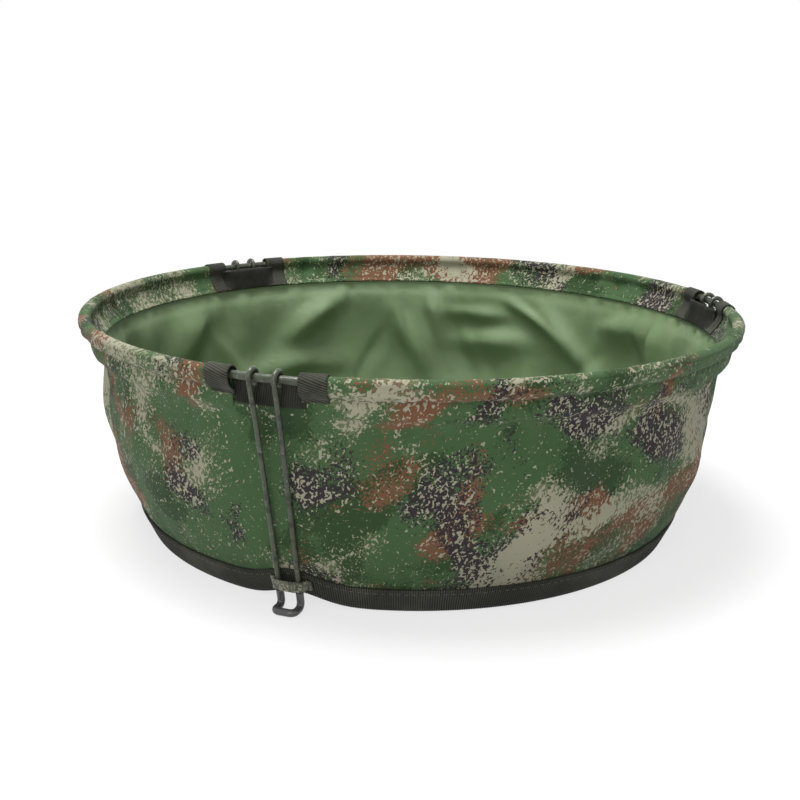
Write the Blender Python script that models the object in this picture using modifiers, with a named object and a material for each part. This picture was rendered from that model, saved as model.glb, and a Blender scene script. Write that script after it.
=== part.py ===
"""Collapsible camp washbasin: a cloth bowl hung inside a wire rim on three folding wire legs.

Metres, +Z up. The origin is on the ground under the middle of the bowl, and leg 1 stands at -Y.
"""
import math

import bmesh
import bpy
import numpy as np

# Driving dimensions
rim_diameter = 0.330
basin_height = 0.110
base_diameter = 0.268
rim_wire_diameter = 0.0036
leg_wire_diameter = 0.0023
wall_cloth = 0.0006
liner_cloth = 0.0005
hem_cloth = 0.0006
tape_thickness = 0.0009
fit_gap = 0.0003

# Hem band round the rim, and the notches that bare the wire for the legs
hem_drop = 0.014
hem_inset = 0.0060
notch_width = 0.033
notch_depth = 0.0072
notch_inset = 0.0022
tape_width = 0.010
tape_overrun = 0.0015

# Bowl cloth: slack behind the legs, bellies between them, and the folds
leg_dent = 0.0015
belly = 0.0012
wall_bulge = 0.0052
wall_ripple = 0.0022
liner_slack = 0.0070

# Base seam, bound with folded tape, and the three lobes where the loops pull it to the legs
binding_height = 0.0125
binding_inner_height = 0.0064
floor_rise_width = 0.0325
floor_turn_height = 0.0100
lobe_reach = 0.0036
lobe_lift = 0.0064
lobe_width = 0.030
lobe_fade_height = 0.038

# Legs: one U of wire each, hooked over the rim, with a vinyl sleeve on the foot
eye_spacing = 0.0110
foot_spacing = 0.0092
knee_drop = 0.0191
knee_inset = 0.0019
ankle_stand = 0.0068
foot_reach = 0.0075
foot_bend_radius = 0.0024
foot_sleeve_wall = 0.00035
foot_sleeve_gap = 0.0002
foot_sleeve_height = 0.0092

# Loops that tie the base to the legs
loop_height = 0.0055
loop_thickness = 0.0008
loop_span = 0.0136
loop_tail = 0.0026

# Counts and shares
leg_count = 3
free_columns = 13
wire_bevel_resolution = 2
eye_turn_degrees = 266.0
eye_steps = 11
bend_steps = 3
hem_shares = (1.0, 0.72, 0.44, 0.12)
hem_roundness = 2.0
arc_degrees = (35.0, 80.0, 125.0, 170.0)
notch_leaf_shares = (0.97, 0.76)
wall_bulge_shares = (-0.396, -0.458, 0.145, 0.748, 1.0, 0.802, 0.444)
wall_height_shares = (0.952, 0.905, 0.755, 0.565, 0.383, 0.249, 0.158)
crown_share = 0.52
floor_sag_shares = ((0.40, 0.22), (0.74, 0.86))
notch_middle_share = 1 / 3
weld_share = 0.01
cloth_crease_degrees = 40.0
wire_crease_degrees = 60.0

# Ripples in the wall: waves round the bowl, slant up the wall, share of the size, start
ripple_shares = ((10, 4, 1.0, 0.0), (17, -7, 0.6, 0.0))

# Folds of the liner: place in degrees round the bowl, height, slant in degrees, half length,
# half width and reach, as shares of the wall's height and of the slack
liner_fold_shares = (
    (134, 0.82, -36, 0.30, 0.12, 0.75),
    (64, 0.70, 82, 0.34, 0.12, 0.80),
    (34, 0.72, 95, 0.30, 0.12, 0.70),
    (87, 0.70, 4, 0.34, 0.10, 0.90),
    (86, 0.48, 0, 0.26, 0.12, -0.35),
    (110, 0.62, 60, 0.30, 0.12, 0.50),
    (150, 0.46, -12, 0.36, 0.12, 0.60),
    (169, 0.72, 68, 0.30, 0.12, 0.80),
    (196, 0.60, 105, 0.34, 0.13, 0.70),
    (224, 0.66, 60, 0.32, 0.13, 0.80),
    (250, 0.48, -30, 0.30, 0.12, 0.60),
    (286, 0.62, 78, 0.34, 0.13, 0.80),
    (312, 0.50, 30, 0.32, 0.12, 0.60),
    (336, 0.70, 100, 0.32, 0.13, 0.80),
    (8, 0.55, -40, 0.30, 0.12, 0.60),
)
slack_share = 0.22

# Worked out from the values above
rim_wire_radius = rim_wire_diameter / 2
leg_wire_radius = leg_wire_diameter / 2
arc_step = math.radians(arc_degrees[1] - arc_degrees[0])
tunnel_radius = (rim_wire_radius + fit_gap + hem_cloth / 2) / math.cos(arc_step / 2)
ring_radius = rim_diameter / 2 - tunnel_radius - hem_cloth / 2
ring_height = basin_height - tunnel_radius - hem_cloth / 2
wall_inset = hem_cloth / 2 + fit_gap + wall_cloth / 2
liner_step = wall_cloth / 2 + fit_gap + liner_cloth / 2
floor_step = liner_cloth / 2 + fit_gap + wall_cloth / 2
liner_inset = wall_inset + liner_step
leaf_inset = liner_inset + liner_cloth / 2 + fit_gap + hem_cloth / 2
tape_proud = hem_cloth / 2 + fit_gap + tape_thickness / 2
binding_proud = wall_cloth / 2 + fit_gap + tape_thickness / 2
base_radius = base_diameter / 2 - binding_proud - tape_thickness / 2
knee_height = ring_height - knee_drop
knee_radius = ring_radius - knee_inset
ankle_radius = base_diameter / 2 + ankle_stand
floor_flat_radius = base_radius - floor_rise_width
lobe_full_radius = base_radius - 3 * binding_proud
notch_angle = notch_width / 2 / ring_radius
notch_middle_angle = notch_angle * notch_middle_share
tape_angle = tape_width / ring_radius
lobe_angle = lobe_width / base_radius
cloth_top_share = (notch_depth + tape_thickness) / hem_drop
leg_angles = [-math.pi / 2 + k * 2 * math.pi / leg_count for k in range(leg_count)]
weld_reach = fit_gap * weld_share

# Colours of the real materials
colours = {
    "camo": ((0.10, 0.14, 0.07), 0.85, 0.0),
    "liner": ((0.09, 0.16, 0.07), 0.55, 0.0),
    "floor": ((0.05, 0.08, 0.04), 0.70, 0.0),
    "tape": ((0.03, 0.032, 0.027), 0.9, 0.0),
    "wire": ((0.09, 0.10, 0.07), 0.4, 0.6),
    "vinyl": ((0.02, 0.02, 0.02), 0.35, 0.0),
}


def clear_scene():
    """Remove whatever the file starts with."""
    for thing in list(bpy.data.objects):
        bpy.data.objects.remove(thing)


def new_collection(name):
    """A collection linked to the scene."""
    group = bpy.data.collections.new(name)
    bpy.context.scene.collection.children.link(group)
    return group


def own_material(part, finish):
    """Give one part its own Principled material."""
    colour, roughness, metallic = colours[finish]
    material = bpy.data.materials.new(part.name)
    material.use_nodes = True
    shader = material.node_tree.nodes["Principled BSDF"]
    shader.inputs["Base Color"].default_value = (*colour, 1.0)
    shader.inputs["Roughness"].default_value = roughness
    shader.inputs["Metallic"].default_value = metallic
    part.data.materials.append(material)


def place(name, mesh, finish, parent=None):
    """Link a named part to the basin's collection, smooth, with its material."""
    part = bpy.data.objects.new(name, mesh)
    basin.objects.link(part)
    part.parent = parent
    own_material(part, finish)
    return part


def thicken(part, thickness):
    """Turn a sheet into a closed solid of even thickness."""
    shell = part.modifiers.new("thickness", "SOLIDIFY")
    shell.thickness = thickness
    shell.offset = 0
    shell.use_even_offset = True


def baked(part):
    """The mesh of a part as its modifiers leave it, with loose ends welded."""
    graph = bpy.context.evaluated_depsgraph_get()
    mesh = bpy.data.meshes.new_from_object(part.evaluated_get(graph))
    work = bmesh.new()
    work.from_mesh(mesh)
    bmesh.ops.remove_doubles(work, verts=work.verts, dist=weld_reach)
    work.to_mesh(mesh)
    work.free()
    return mesh


def soften(part, degrees=cloth_crease_degrees):
    """Shade round faces smooth and keep the sharp edges."""
    part.data.shade_smooth()
    part.data.set_sharp_from_angle(angle=math.radians(degrees))


def offset_line(line, distance):
    """Move a line of (radius, height) points to its right side, with mitred corners."""
    points = np.array(line)
    runs = np.diff(points, axis=0)
    runs /= np.linalg.norm(runs, axis=1)[:, None]
    sides = np.stack([runs[:, 1], -runs[:, 0]], axis=1)
    before = np.vstack([sides[:1], sides])
    after = np.vstack([sides, sides[-1:]])
    mitre = (before + after) / (1 + (before * after).sum(axis=1))[:, None]
    return points + mitre * distance


def leg_offset(angle):
    """Angle from the nearest leg, positive to its left."""
    pitch = 2 * math.pi / leg_count
    turn = (angle - leg_angles[0] + pitch / 2) % pitch
    return turn - pitch / 2


def column_angles(first, last):
    """Angles of the shared columns from leg number first to leg number last."""
    pitch = 2 * math.pi / leg_count
    free = pitch - 2 * (notch_angle + tape_angle)
    steps = [-notch_middle_angle, notch_middle_angle, notch_angle]
    steps += [notch_angle + tape_angle + free * k / free_columns for k in range(free_columns + 1)]
    steps += [pitch - notch_angle]
    ring = [leg_angles[0] + leg * pitch + step for leg in range(first, last) for step in steps]
    return ring + [leg_angles[0] + last * pitch - notch_middle_angle]


def turned_sheet(name, line, angles, shift=None):
    """Turn a line of (radius, height) points through the angles, then let shift move the points.

    The sheet faces outwards where the line runs down. A full turn is closed at its seam.
    """
    rows = len(line) - 1
    columns = len(angles) - 1
    work = bmesh.new()
    bmesh.ops.create_grid(work, x_segments=columns, y_segments=rows, size=1)
    for vert in work.verts:
        column = round((vert.co.x + 1) / 2 * columns)
        row = round((1 - vert.co.y) / 2 * rows)
        radius, height = line[row]
        angle = angles[column]
        if shift:
            radius, height = shift(angle, radius, height, row)
        vert.co = (radius * math.cos(angle), radius * math.sin(angle), height)
    bmesh.ops.remove_doubles(work, verts=work.verts, dist=weld_reach)
    mesh = bpy.data.meshes.new(name)
    work.to_mesh(mesh)
    work.free()
    return mesh


def smooth_step(share):
    """Ease from 0 to 1 as the share goes from 0 to 1."""
    share = min(max(share, 0), 1)
    return share * share * (3 - 2 * share)


def lobe(angle):
    """1 at a leg, falling to 0 a lobe's width away."""
    return math.exp(-(2 * leg_offset(angle) / lobe_angle) ** 2)


def base_shift(angle, radius, height, row):
    """Pull the base seam out and up at each leg."""
    hold = smooth_step((radius - floor_flat_radius) / (lobe_full_radius - floor_flat_radius))
    hold *= 1 - smooth_step((height - binding_height) / (lobe_fade_height - binding_height))
    pull = lobe(angle) * hold
    return radius + lobe_reach * pull, height + lobe_lift * pull


def notch_span_share(angle):
    """1 across the middle of a notch, falling to 0 at its ends."""
    return smooth_step((notch_angle - abs(leg_offset(angle))) / (notch_angle - notch_middle_angle))


def notch_share(angle, height):
    """1 at a notch's free edge, falling to 0 at its ends and down at the hem's seam."""
    top_height = ring_height - notch_depth
    up = (height - seam_height) / (top_height - seam_height)
    return notch_span_share(angle) * min(max(up, 0), 1)


def fold_share(height):
    """0 at the base seam and at the hem, 1 half way up the wall."""
    low = seam_height * wall_height_shares[-1]
    share = min(max((height - low) / (seam_height - low), 0), 1)
    return math.sin(math.pi * share)


def waves(shares, angle, height):
    """Sum of slanting waves round the bowl."""
    climb = height / seam_height
    return sum(size * math.cos(turns * angle + slant * climb + start)
               for turns, slant, size, start in shares)


def wall_fold(angle, height):
    """Inward dents behind the legs, bellies between them, and slanting ripples on the bellies."""
    free = (1 - math.cos(leg_count * leg_offset(angle))) / 2
    ripple = wall_ripple * waves(ripple_shares, angle, height)
    return fold_share(height) * (free * (belly + ripple) - (1 - free) * leg_dent)


def liner_fold(angle, height):
    """Slack of the liner, which hangs inwards in broad soft folds: each a long slanting mound."""
    drape = slack_share
    for degrees, rise, slant, length, width, reach in liner_fold_shares:
        turn = (angle - math.radians(degrees) + math.pi) % (2 * math.pi) - math.pi
        across = turn * base_radius
        up = height - rise * seam_height
        lean = math.radians(slant)
        along = (across * math.cos(lean) + up * math.sin(lean)) / (length * seam_height)
        aside = (up * math.cos(lean) - across * math.sin(lean)) / (width * seam_height)
        drape += reach * math.exp(-along ** 2 - aside ** 2)
    return fold_share(height) * liner_slack * drape


def wall_shift(angle, radius, height, row):
    """Place a point of the outer wall."""
    move = wall_fold(angle, height) - notch_inset * notch_share(angle, height)
    radius, height = base_shift(angle, radius, height, row)
    return radius + move, height


def liner_shift(angle, radius, height, row):
    """Place a point of the liner wall, which follows the outer wall and hangs inside it."""
    slack = liner_fold(angle, height)
    radius, height = wall_shift(angle, radius, height, row)
    return radius - slack, height


def hem_point(share):
    """Middle of the hem's outer leaf, from the wire (0) to the seam (1)."""
    inset = hem_inset * share ** hem_roundness
    return (ring_radius + tunnel_radius - inset, ring_height - hem_drop * share)


def inner_hem_point(share, inset):
    """Point a given depth inside the hem's outer leaf."""
    tangent = np.array([-hem_inset * hem_roundness * share ** (hem_roundness - 1), -hem_drop])
    tangent /= np.linalg.norm(tangent)
    inward = np.array([tangent[1], -tangent[0]])
    return tuple(np.array(hem_point(share)) + inward * inset)


def hem_line():
    """Section of the hem: up the outer leaf, over the wire and down the inner leaf."""
    line = [hem_point(share) for share in hem_shares]
    for degrees in arc_degrees:
        turn = math.radians(degrees)
        line.append((ring_radius + tunnel_radius * math.cos(turn),
                     ring_height + tunnel_radius * math.sin(turn)))
    line += [inner_hem_point(share, leaf_inset) for share in (cloth_top_share, 1.0)]
    return line


seam_height = inner_hem_point(1, wall_inset)[1]
layer_bottom = tape_thickness + 2 * fit_gap


def wall_line():
    """Section of the outer wall, from inside the hem down into the base binding."""
    top = [inner_hem_point(share, wall_inset) for share in (cloth_top_share, 1.0)]
    seam_radius = top[-1][0]
    body = [(base_radius + (seam_radius - base_radius) * up + wall_bulge * out, seam_height * up)
            for out, up in zip(wall_bulge_shares, wall_height_shares)]
    return top + body + [(base_radius, layer_bottom)]


def liner_line():
    """Section of the liner wall, just inside the outer wall."""
    line = offset_line(wall_line(), liner_step)
    line[-1][1] = layer_bottom
    return line


def flange_slope():
    """How far the wall leans out at the base seam for each step up."""
    low, high = wall_line()[:-3:-1]
    return (high[0] - low[0]) / (high[1] - low[1])


def flange_point(height, depth):
    """Point on the base seam a given depth inside the outer wall."""
    radius = base_radius + flange_slope() * (height - layer_bottom)
    return (radius - depth * math.hypot(1, flange_slope()), height)


def floor_line():
    """Section of the floor: flat on the ground, up to the seam, and turned down inside it."""
    depth = liner_step + liner_cloth + fit_gap + floor_step
    top = flange_point(floor_turn_height, depth)
    rest = wall_cloth / 2
    line = [(0, rest), (floor_flat_radius, rest)]
    for across, up in floor_sag_shares:
        line.append((floor_flat_radius + (top[0] - floor_flat_radius) * across,
                     rest + (floor_turn_height - rest) * up))
    turn = 2 * floor_step
    line.append((top[0] - turn, floor_turn_height))
    line.append(flange_point(floor_turn_height - turn, depth + fit_gap))
    line.append(flange_point(layer_bottom, depth))
    return line[::-1]


def liner_floor_line():
    """Section of the liner floor, which lies on the floor panel and outside its flange."""
    line = offset_line(floor_line(), floor_step)
    line[-1][0] = 0
    line[0][1] = layer_bottom
    return line


def binding_line():
    """Section of the base binding: outer leaf, fold under the seam, inner leaf."""
    depth = liner_step + liner_cloth + fit_gap + floor_step
    inner = depth + wall_cloth / 2 + 2 * fit_gap + tape_thickness / 2
    low = tape_thickness / 2
    corner = tape_thickness
    return [flange_point(binding_height, -binding_proud),
            flange_point(low + corner, -binding_proud),
            (flange_point(low, -binding_proud)[0] - corner / 2, low),
            (flange_point(low, inner)[0] + corner / 2, low),
            flange_point(low + corner, inner),
            flange_point(binding_inner_height, inner)]


def make_rim_wire():
    """The steel hoop that holds the mouth open."""
    angles = column_angles(0, leg_count)[:-1]
    curve = bpy.data.curves.new("rim_wire", "CURVE")
    curve.dimensions = "3D"
    curve.bevel_depth = rim_wire_radius
    curve.bevel_resolution = wire_bevel_resolution
    spline = curve.splines.new("POLY")
    spline.points.add(len(angles) - 1)
    for point, angle in zip(spline.points, angles):
        point.co = (ring_radius * math.cos(angle), ring_radius * math.sin(angle), ring_height, 1)
    spline.use_cyclic_u = True
    wire = place("rim_wire", curve, "wire")
    mesh = baked(wire)
    bpy.data.objects.remove(wire)
    ring = place("rim_wire", mesh, "wire")
    soften(ring, wire_crease_degrees)


def make_hem_sleeves():
    """Three bands of cloth folded over the rim wire, from notch to notch."""
    for leg in range(leg_count):
        name = f"hem_sleeve_{leg + 1}"
        angles = column_angles(leg, leg + 1)[2:-1]
        sleeve = place(name, turned_sheet(name, hem_line(), angles), "camo")
        thicken(sleeve, hem_cloth)
        soften(sleeve)


def strip_line(outer_depth, inner_depth, point):
    """Section of the tape along a notch: outer leaf, fold over the cloth's edge, inner leaf."""
    top_share = (notch_depth - tape_thickness) / hem_drop
    turn_share = top_share + tape_thickness / hem_drop
    middle = (outer_depth + inner_depth) / 2
    draw = (inner_depth - outer_depth) * crown_share
    outer = [point(share, outer_depth) for share in notch_leaf_shares]
    inner = [point(share, inner_depth) for share in reversed(notch_leaf_shares)]
    crown = [point(turn_share, middle - draw), point(top_share, middle), point(turn_share, middle + draw)]
    return outer + crown + inner


def edge_point(share, depth):
    """Point a given depth inside the outer wall's straight top edge, shares as on the hem."""
    low = np.array(inner_hem_point(1, wall_inset))
    high = np.array(inner_hem_point(cloth_top_share, wall_inset))
    run = (high - low) / (1 - cloth_top_share)
    inward = np.array([-run[1], run[0]]) / np.linalg.norm(run)
    return tuple(low + run * (1 - share) + inward * depth)


def strip_shift(angle, radius, height, row):
    """Bring the notch's tape from the collars, at its ends, down on to the cloth's edge."""
    outer_depth = -(wall_cloth / 2 + fit_gap + tape_thickness / 2)
    inner_depth = liner_step + liner_cloth / 2 + fit_gap + tape_thickness / 2
    snug_radius, snug_height = strip_line(outer_depth, inner_depth, edge_point)[row]
    across = notch_span_share(angle)
    radius += (snug_radius - radius) * across
    height += (snug_height - height) * across
    return radius - notch_inset * notch_share(angle, height), height


def make_notch_binding(number, centre):
    """One tape round a notch: two collars over the hem's ends and a strip along the notch."""
    name = f"notch_binding_{number}"
    past = tape_overrun / ring_radius
    collar_line = offset_line(hem_line(), tape_proud)
    sides = []
    for side in (-1, 1):
        turns = [notch_angle - past, notch_angle, notch_angle + tape_angle]
        angles = sorted(centre + side * turn for turn in turns)
        collar = place(f"collar{side}", turned_sheet(name, collar_line, angles), "tape")
        thicken(collar, tape_thickness)
        sides.append(collar)

    line = strip_line(-tape_proud, leaf_inset + tape_proud, inner_hem_point)
    turns = [fit_gap / ring_radius - notch_angle, -notch_middle_angle]
    turns += [-turn for turn in reversed(turns)]
    angles = [centre + turn for turn in turns]
    strip = place("strip", turned_sheet(name, line, angles, strip_shift), "tape")
    thicken(strip, tape_thickness + fit_gap / 2)
    for collar in sides:
        join = strip.modifiers.new("join", "BOOLEAN")
        join.operation = "UNION"
        join.object = collar
    mesh = baked(strip)
    for piece in sides + [strip]:
        bpy.data.objects.remove(piece)
    binding = place(name, mesh, "tape")
    soften(binding)


def make_walls():
    """The printed outer wall and the coated liner that hangs inside it."""
    angles = column_angles(0, leg_count)
    wall = place("outer_wall", turned_sheet("outer_wall", wall_line(), angles, wall_shift), "camo")
    thicken(wall, wall_cloth)
    soften(wall)
    liner = place("liner_wall", turned_sheet("liner_wall", liner_line(), angles, liner_shift), "liner")
    thicken(liner, liner_cloth)
    soften(liner)


def make_floors():
    """The floor panel and the liner's floor, both turned down into the base seam."""
    angles = column_angles(0, leg_count)
    panel = place("floor_panel", turned_sheet("floor_panel", floor_line(), angles, base_shift), "floor")
    thicken(panel, wall_cloth)
    soften(panel)
    liner_line_below = liner_floor_line()
    liner = place("liner_floor", turned_sheet("liner_floor", liner_line_below, angles, base_shift), "liner")
    thicken(liner, liner_cloth)
    soften(liner)


def make_base_binding():
    """Webbing folded over the raw edges of the base seam."""
    angles = column_angles(0, leg_count)
    binding = place("base_binding", turned_sheet("base_binding", binding_line(), angles, base_shift), "tape")
    thicken(binding, tape_thickness)
    soften(binding)


def rounded(corners, radius):
    """Replace each inner corner of a path by an arc of the given radius."""
    corners = [np.array(corner, float) for corner in corners]
    path = [corners[0]]
    for before, corner, after in zip(corners, corners[1:], corners[2:]):
        back = (before - corner) / np.linalg.norm(before - corner)
        ahead = (after - corner) / np.linalg.norm(after - corner)
        half = math.acos(np.clip(back @ ahead, -1, 1)) / 2
        middle = (back + ahead) / np.linalg.norm(back + ahead)
        centre = corner + middle * radius / math.sin(half)
        start = corner + back * radius / math.tan(half) - centre
        end = corner + ahead * radius / math.tan(half) - centre
        sweep = math.pi - 2 * half
        for step in range(bend_steps + 1):
            turn = sweep * step / bend_steps
            arm = (start * math.sin(sweep - turn) + end * math.sin(turn)) / math.sin(sweep)
            path.append(centre + arm)
    return path + [corners[-1]]


def foot_height():
    """Height of the wire's middle where the foot lies on the ground."""
    return leg_wire_radius + foot_sleeve_gap + foot_sleeve_wall


def leg_radius(height):
    """Distance of the leg's straight run from the middle of the basin at a height."""
    share = (height - foot_height()) / (knee_height - foot_height())
    return ankle_radius + (knee_radius - ankle_radius) * share


def leg_half_spacing(height):
    """Half the distance between the two wires at a height."""
    share = (height - foot_height()) / (ring_height - foot_height())
    return (foot_spacing + (eye_spacing - foot_spacing) * share) / 2


def local(side, radius, height):
    """A point beside the leg's middle, seen from its hinge: across, inwards and up."""
    return (side * leg_half_spacing(height), ring_radius - radius, height - ring_height)


def foot_path(start_height):
    """The wire from one side of the foot to the other, bent outwards and across."""
    low = foot_height()
    tip = ankle_radius + foot_reach
    corners = [local(-1, leg_radius(start_height), start_height), local(-1, ankle_radius, low),
               local(-1, tip, low), local(1, tip, low), local(1, ankle_radius, low),
               local(1, leg_radius(start_height), start_height)]
    return rounded(corners, foot_bend_radius)


def eye_path(side):
    """The hook over the rim wire, from its tip to where it runs into the leg."""
    eye_radius = rim_wire_radius + fit_gap + leg_wire_radius
    reach = math.hypot(ring_radius - knee_radius, ring_height - knee_height)
    aim = math.atan2(ring_height - knee_height, ring_radius - knee_radius)
    start = aim - math.asin(eye_radius / reach) - math.pi / 2
    turns = [start + math.radians(eye_turn_degrees) * (1 - k / eye_steps) for k in range(eye_steps + 1)]
    return [(side * eye_spacing / 2, -eye_radius * math.cos(turn), eye_radius * math.sin(turn))
            for turn in turns]


def wire_curve(name, path, radius, caps=True):
    """A round wire along a path."""
    curve = bpy.data.curves.new(name, "CURVE")
    curve.dimensions = "3D"
    curve.bevel_depth = radius
    curve.bevel_resolution = wire_bevel_resolution
    curve.use_fill_caps = caps
    spline = curve.splines.new("POLY")
    spline.points.add(len(path) - 1)
    for point, place_in_path in zip(spline.points, path):
        point.co = (*place_in_path, 1)
    return curve


def make_leg(number, hinge):
    """One U-shaped wire leg, hooked over the rim wire at both ends."""
    name = f"leg_{number}"
    path = eye_path(-1) + foot_path(knee_height) + eye_path(1)[::-1]
    curve = place(name, wire_curve(name, path, leg_wire_radius), "wire")
    mesh = baked(curve)
    bpy.data.objects.remove(curve)
    leg = place(name, mesh, "wire", hinge)
    soften(leg, wire_crease_degrees)


def make_foot_sleeve(number, hinge):
    """The vinyl tube pushed over the foot of a leg."""
    name = f"foot_sleeve_{number}"
    middle = leg_wire_radius + foot_sleeve_gap + foot_sleeve_wall / 2
    curve = place(name, wire_curve(name, foot_path(foot_sleeve_height), middle, caps=False), "vinyl")
    mesh = baked(curve)
    bpy.data.objects.remove(curve)
    sleeve = place(name, mesh, "vinyl", hinge)
    thicken(sleeve, foot_sleeve_wall)
    soften(sleeve, wire_crease_degrees)


def make_hinge(number, angle):
    """The empty on the axis that a leg swings round: the rim wire at its notch."""
    hinge = bpy.data.objects.new(f"hinge_{number}", None)
    basin.objects.link(hinge)
    hinge.location = (ring_radius * math.cos(angle), ring_radius * math.sin(angle), ring_height)
    hinge.rotation_euler = (0, 0, angle + math.pi / 2)
    return hinge


def make_foot_loop(number, angle):
    """A strip of cloth sewn to the binding, round both wires of a leg."""
    name = f"foot_loop_{number}"
    low = foot_sleeve_height + fit_gap * 2
    middle = low + loop_height / 2
    face = leg_radius(middle) + leg_wire_radius + fit_gap + loop_thickness / 2
    seat = flange_point(middle - lobe_lift, -binding_proud)[0] + lobe_reach
    seat += (tape_thickness / 2 + fit_gap + loop_thickness) * math.hypot(1, flange_slope())
    bend = (face - seat) / 3
    half = loop_span / 2
    leg_slope = (knee_radius - ankle_radius) / (knee_height - foot_height())
    seat_slope = flange_slope()
    side = [(half + loop_tail, seat - fit_gap, seat_slope), (half + bend / 2, seat, seat_slope),
            (half, seat + bend, leg_slope), (half, face - bend / 2, leg_slope),
            (half - bend / 2, face, leg_slope)]
    outline = side + [(-across, out, slope) for across, out, slope in side[::-1]]
    work = bmesh.new()
    bmesh.ops.create_grid(work, x_segments=len(outline) - 1, y_segments=1, size=1)
    for vert in work.verts:
        across, out, slope = outline[round((vert.co.x + 1) / 2 * (len(outline) - 1))]
        rise = vert.co.y * loop_height / 2
        vert.co = (across, -out - slope * rise, middle + rise)
    mesh = bpy.data.meshes.new(name)
    work.to_mesh(mesh)
    work.free()
    loop = place(name, mesh, "camo")
    loop.rotation_euler = (0, 0, angle + math.pi / 2)
    thicken(loop, loop_thickness)
    soften(loop)


def make_basin():
    """Make every part of the washbasin."""
    make_rim_wire()
    make_hem_sleeves()
    make_walls()
    make_floors()
    make_base_binding()
    for number, angle in enumerate(leg_angles, 1):
        make_notch_binding(number, angle)
        hinge = make_hinge(number, angle)
        make_leg(number, hinge)
        make_foot_sleeve(number, hinge)
        make_foot_loop(number, angle)


clear_scene()
basin = new_collection("camp_washbasin")
make_basin()
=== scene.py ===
"""Collapsible camp washbasin: camouflage cloth on a wire rim with three folding wire legs."""
import math

import bpy
import numpy as np
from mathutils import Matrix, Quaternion, Vector


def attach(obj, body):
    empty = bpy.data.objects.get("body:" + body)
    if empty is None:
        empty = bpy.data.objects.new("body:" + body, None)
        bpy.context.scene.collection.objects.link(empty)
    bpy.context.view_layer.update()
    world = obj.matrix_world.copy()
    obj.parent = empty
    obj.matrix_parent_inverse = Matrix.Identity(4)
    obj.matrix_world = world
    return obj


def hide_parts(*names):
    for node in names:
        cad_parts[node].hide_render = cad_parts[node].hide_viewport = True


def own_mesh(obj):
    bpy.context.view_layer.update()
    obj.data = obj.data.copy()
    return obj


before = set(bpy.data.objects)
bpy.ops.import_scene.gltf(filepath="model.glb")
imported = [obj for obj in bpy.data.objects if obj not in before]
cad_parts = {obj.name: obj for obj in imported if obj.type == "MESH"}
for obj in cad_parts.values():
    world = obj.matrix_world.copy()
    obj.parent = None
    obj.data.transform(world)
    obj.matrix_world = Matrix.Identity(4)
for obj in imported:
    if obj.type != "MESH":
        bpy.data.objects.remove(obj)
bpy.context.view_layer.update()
scene = bpy.context.scene
scene.view_settings.view_transform = "Standard"

# The studio: a pale floor and a white surround, a broad soft lamp overhead and to the left, and a
# weak one in front. The camera stands a little to the right of leg 1, above the rim.
full_turn = 2 * math.pi
camera_place = Vector((0.2146, -0.5729, 0.2241))
camera_aim = Vector((-0.0034, -0.0054, 0.0590))
camera_roll = math.radians(0.75)
camera_near = 0.01
lens_view = math.radians(36.445)
surround_strength = 0.42
floor_reach = 12.0
floor_drop = 0.0002
floor_colour = (0.82, 0.82, 0.82)
floor_near_share = 0.72
floor_fade = (0.22, 0.75)
# Each lamp: its place, its width in metres and its power in watts
lamps = {
    "key": ((-0.18, -0.08, 1.40), 0.6, 29.0),
    "front": ((0.2, -1.8, 0.9), 1.2, 12.0),
}


class Dye:
    """A value in a material. Sums and products add Math nodes, and node() adds any other."""

    def __init__(self, tree, socket=None):
        self.tree = tree
        self.socket = socket

    def node(self, kind, inputs=(), output=0, **settings):
        """Any node: its settings first, then the values or links of its sockets."""
        made = self.tree.nodes.new(kind)
        for key, value in settings.items():
            setattr(made, key, value)
        for key, value in dict(inputs).items():
            if isinstance(value, Dye):
                self.tree.links.new(value.socket, made.inputs[key])
            else:
                made.inputs[key].default_value = value
        return Dye(self.tree, made.outputs[output] if len(made.outputs) else None)

    def math(self, operation, first, second=0.0):
        return self.node("ShaderNodeMath", {0: first, 1: second}, operation=operation)

    def __add__(self, other):
        return self.math("ADD", self, other)

    def __sub__(self, other):
        return self.math("SUBTRACT", self, other)

    def __rsub__(self, other):
        return self.math("SUBTRACT", other, self)

    def __mul__(self, other):
        return self.math("MULTIPLY", self, other)

    __radd__ = __add__
    __rmul__ = __mul__

    def top(self, other):
        return self.math("MAXIMUM", self, other)

    def sine(self):
        return self.math("SINE", self)

    def waves(self, pitch):
        """A sine wave of this pitch along this coordinate."""
        return (self * (full_turn / pitch)).sine()

    def span(self, low, high, to_low=0.0, to_high=1.0):
        """Eased from one value to another as this one goes from low to high."""
        ends = {"Value": self, "From Min": low, "From Max": high, "To Min": to_low, "To Max": to_high}
        return self.node("ShaderNodeMapRange", ends, interpolation_type="SMOOTHSTEP")

    def blend(self, low, high):
        """Between two colours, by this value."""
        low, high = (tone if isinstance(tone, Dye) else (*tone, 1) for tone in (low, high))
        return self.node("ShaderNodeMix", {0: self, 6: low, 7: high}, output=2, data_type="RGBA")

    def each(self, operation, other):
        """Vector maths, coordinate by coordinate."""
        return self.node("ShaderNodeVectorMath", {0: self, 1: other}, operation=operation)

    def axis(self, number):
        """One coordinate of this vector."""
        return self.node("ShaderNodeSeparateXYZ", {0: self}, output=number)

    def noise(self, scale, detail=1.0, roughness=0.5, distortion=0.0):
        """Cloudy noise at this vector, about 1 / scale metres across."""
        facts = {"Vector": self, "Scale": scale, "Detail": detail, "Roughness": roughness,
                 "Distortion": distortion}
        return self.node("ShaderNodeTexNoise", facts)


def seen_white(dye):
    """1 for rays that see the surround directly, in gloss or through glass."""
    direct, gloss, glass = (dye.node("ShaderNodeLightPath", output=f"Is {kind} Ray")
                            for kind in ("Camera", "Glossy", "Transmission"))
    return direct.top(gloss).top(glass)


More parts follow.
